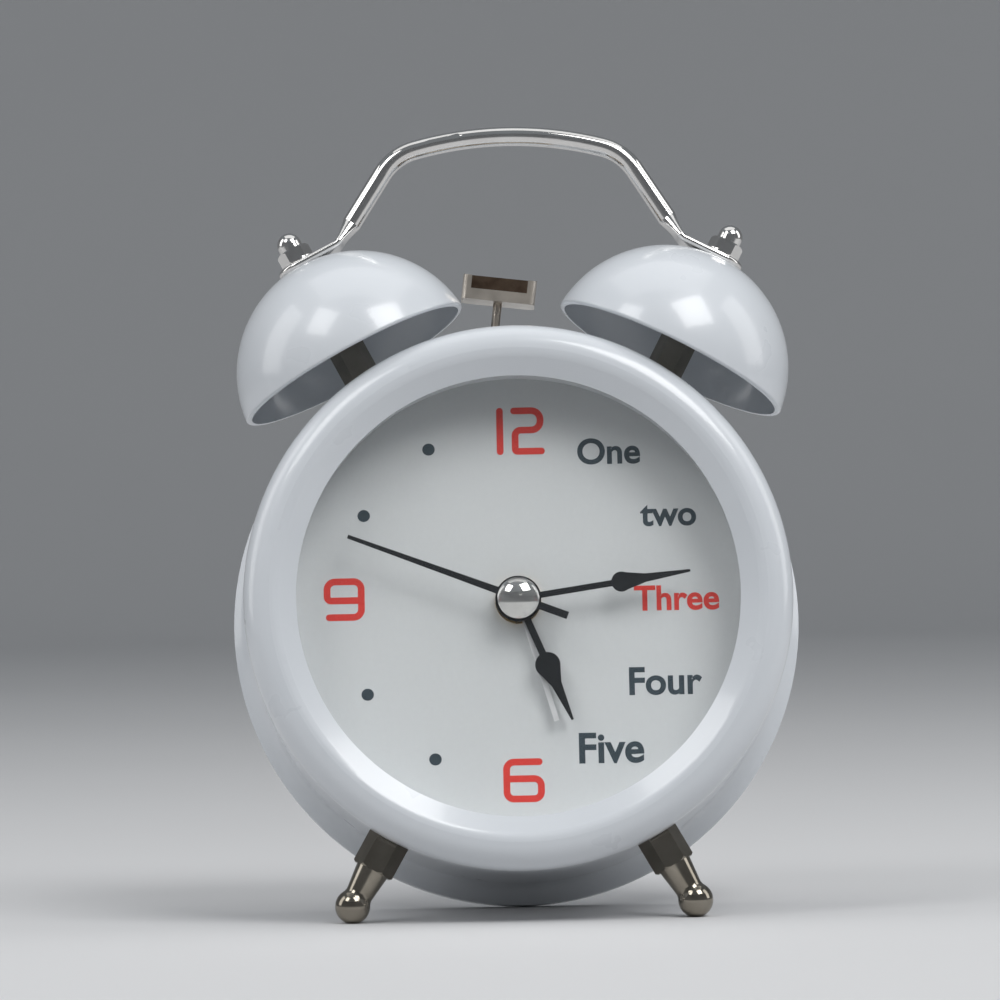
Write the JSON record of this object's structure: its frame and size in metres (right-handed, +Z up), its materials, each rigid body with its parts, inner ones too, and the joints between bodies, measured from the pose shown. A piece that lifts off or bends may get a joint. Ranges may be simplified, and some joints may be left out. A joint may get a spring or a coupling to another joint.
{
  "type": "twin bell alarm clock",
  "caption": "Twin-bell alarm clock on two ball feet, with a bent bar handle, a striking hammer, a quartz movement and knobs, switch and battery bay on the back.",
  "frame": {"origin": "centre of the plan on the surface the clock stands on", "axes": "+X to the right seen from the front, +Y backwards, +Z up; the dial faces -Y and leans back"},
  "size_m": [0.124, 0.0714, 0.1705],
  "materials": {
    "case_paint": "white gloss enamel",
    "bell_paint": "white gloss enamel",
    "chrome": "bright plate",
    "dark_nickel": "dark nickel plate",
    "hammer_steel": "nickel plated stamping",
    "window_glass": "clear flat glass",
    "dial_print": "matt printed card on metal",
    "spacer_plastic": "white moulded ring",
    "cover_plastic": "white fine grained moulding",
    "knob_plastic": "black moulding",
    "black_hand": "black enamel",
    "silver_hand": "satin",
    "screw_steel": "zinc plate",
    "movement_plastic": "black moulding",
    "gear_plastic": "natural acetal",
    "magnet": "sintered magnet",
    "brass": "turned brass",
    "stator_steel": "silicon steel sheet",
    "copper_winding": "enamelled winding",
    "board_green": "soldermask",
    "can_steel": "plated can",
    "motor_can": "zinc plated can",
    "bracket_steel": "zinc plated sheet"
  },
  "bodies": {
    "root": {"case_drum": "case_paint", "bezel_ring": "case_paint", "front_lens": "window_glass", "dial_spacer_ring": "spacer_plastic", "dial_plate": "dial_print", "rear_cover": "cover_plastic", "cover_screws": "screw_steel", "battery_contacts": "can_steel", "alarm_switch_base": "movement_plastic", "foot_nuts": "screw_steel", "post_nuts": "screw_steel", "tab_washers": "chrome", "carry_handle": "chrome", "movement_front_plate": "movement_plastic", "movement_ring_nut": "brass", "movement_middle_plate": "movement_plastic", "movement_housing": "movement_plastic", "stator_plate": "stator_steel", "drive_coil": "copper_winding", "circuit_board": "board_green", "quartz_crystal": "can_steel", "hammer_pivot_pin": "screw_steel", "motor_bracket": "bracket_steel", "striker_motor": "motor_can", "left_foot": "dark_nickel", "left_bell": "bell_paint", "left_bell_post": "dark_nickel", "left_cap_nut": "chrome", "right_foot": "dark_nickel", "right_bell": "bell_paint", "right_bell_post": "dark_nickel", "right_cap_nut": "chrome"},
    "rotor_body": {"rotor": "magnet"},
    "fifth_body": {"fifth_wheel": "gear_plastic"},
    "second_body": {"second_wheel": "gear_plastic", "second_hand": "black_hand", "second_cap": "chrome"},
    "third_body": {"third_wheel": "gear_plastic"},
    "center_body": {"center_wheel": "gear_plastic"},
    "minute_body": {"minute_arbor": "gear_plastic", "minute_hand": "black_hand"},
    "minute_wheel_body": {"minute_wheel": "gear_plastic"},
    "hour_body": {"hour_wheel": "gear_plastic", "hour_hand": "black_hand"},
    "alarm_body": {"alarm_wheel": "gear_plastic", "alarm_hand": "silver_hand"},
    "time_set_body": {"time_set_stem": "screw_steel", "time_set_knob": "knob_plastic"},
    "alarm_set_body": {"alarm_set_stem": "screw_steel", "alarm_set_knob": "knob_plastic"},
    "hammer_body": {"hammer_lever": "hammer_steel", "hammer_stem": "hammer_steel", "hammer_head": "hammer_steel"},
    "crank_body": {"crank_disc": "brass", "motor_shaft": "screw_steel"},
    "switch_body": {"alarm_switch_slider": "knob_plastic"},
    "door_body": {"battery_door": "cover_plastic"}
  },
  "joints": [
    {"name": "second_hand_turn", "type": "hinge", "parent": "root", "child": "second_body", "pos_m": [0, -0.01877, 0.06829], "axis": [0, 0.9875, -0.1574], "continuous": true},
    {"name": "fifth_wheel_turn", "type": "hinge", "parent": "root", "child": "fifth_body", "pos_m": [0, -0.01711, 0.07865], "axis": [0, 0.9875, -0.1574], "continuous": true},
    {"name": "rotor_turn", "type": "hinge", "parent": "root", "child": "rotor_body", "pos_m": [0.00624, -0.01655, 0.08221], "axis": [0, 0.9875, -0.1574], "continuous": true},
    {"name": "third_wheel_turn", "type": "hinge", "parent": "root", "child": "third_body", "pos_m": [0, -0.02069, 0.0562], "axis": [0, 0.9875, -0.1574], "continuous": true},
    {"name": "center_wheel_turn", "type": "hinge", "parent": "root", "child": "center_body", "pos_m": [0, -0.01877, 0.06829], "axis": [0, 0.9875, -0.1574], "continuous": true},
    {"name": "time_set_turn", "type": "hinge", "parent": "root", "child": "time_set_body", "pos_m": [-0.01559, -0.01735, 0.07717], "axis": [0, 0.9875, -0.1574], "continuous": true},
    {"name": "minute_hand_turn", "type": "hinge", "parent": "root", "child": "minute_body", "pos_m": [0, -0.01877, 0.06829], "axis": [0, 0.9875, -0.1574], "continuous": true},
    {"name": "minute_wheel_turn", "type": "hinge", "parent": "root", "child": "minute_wheel_body", "pos_m": [-0.00779, -0.01806, 0.07273], "axis": [0, 0.9875, -0.1574], "continuous": true},
    {"name": "hour_hand_turn", "type": "hinge", "parent": "root", "child": "hour_body", "pos_m": [0, -0.01877, 0.06829], "axis": [0, 0.9875, -0.1574], "continuous": true},
    {"name": "alarm_set_turn", "type": "hinge", "parent": "root", "child": "alarm_set_body", "pos_m": [0.01152, -0.01772, 0.07485], "axis": [0, 0.9875, -0.1574], "continuous": true},
    {"name": "alarm_hand_turn", "type": "hinge", "parent": "root", "child": "alarm_body", "pos_m": [0, -0.01877, 0.06829], "axis": [0, 0.9875, -0.1574], "continuous": true},
    {"name": "hammer_swing", "type": "hinge", "parent": "root", "child": "hammer_body", "pos_m": [-0.00715, 0.00322, 0.0982], "axis": [0, 0.9875, -0.1574], "range_deg": [-0.8, 8.6]},
    {"name": "motor_turn", "type": "hinge", "parent": "root", "child": "crank_body", "pos_m": [-0.00506, 0.00492, 0.10886], "axis": [0, 0.9875, -0.1574], "continuous": true},
    {"name": "alarm_switch_slide", "type": "slide", "parent": "root", "child": "switch_body", "axis": [1, 0, 0], "range_m": [0, 0.003]},
    {"name": "battery_door_hinge", "type": "hinge", "parent": "root", "child": "door_body", "pos_m": [0, 0.01713, 0.01396], "axis": [-1, 0, 0], "range_deg": [0, 95]}
  ],
  "couplings": [
    {"joint": "fifth_wheel_turn", "follows": "second_hand_turn", "ratio": -6},
    {"joint": "rotor_turn", "follows": "second_hand_turn", "ratio": 30},
    {"joint": "third_wheel_turn", "follows": "second_hand_turn", "ratio": -0.13333},
    {"joint": "center_wheel_turn", "follows": "second_hand_turn", "ratio": 0.016667},
    {"joint": "minute_hand_turn", "follows": "time_set_turn", "ratio": 1},
    {"joint": "minute_wheel_turn", "follows": "time_set_turn", "ratio": -0.33333},
    {"joint": "hour_hand_turn", "follows": "time_set_turn", "ratio": 0.083333},
    {"joint": "alarm_hand_turn", "follows": "alarm_set_turn", "ratio": -0.85}
  ]
}
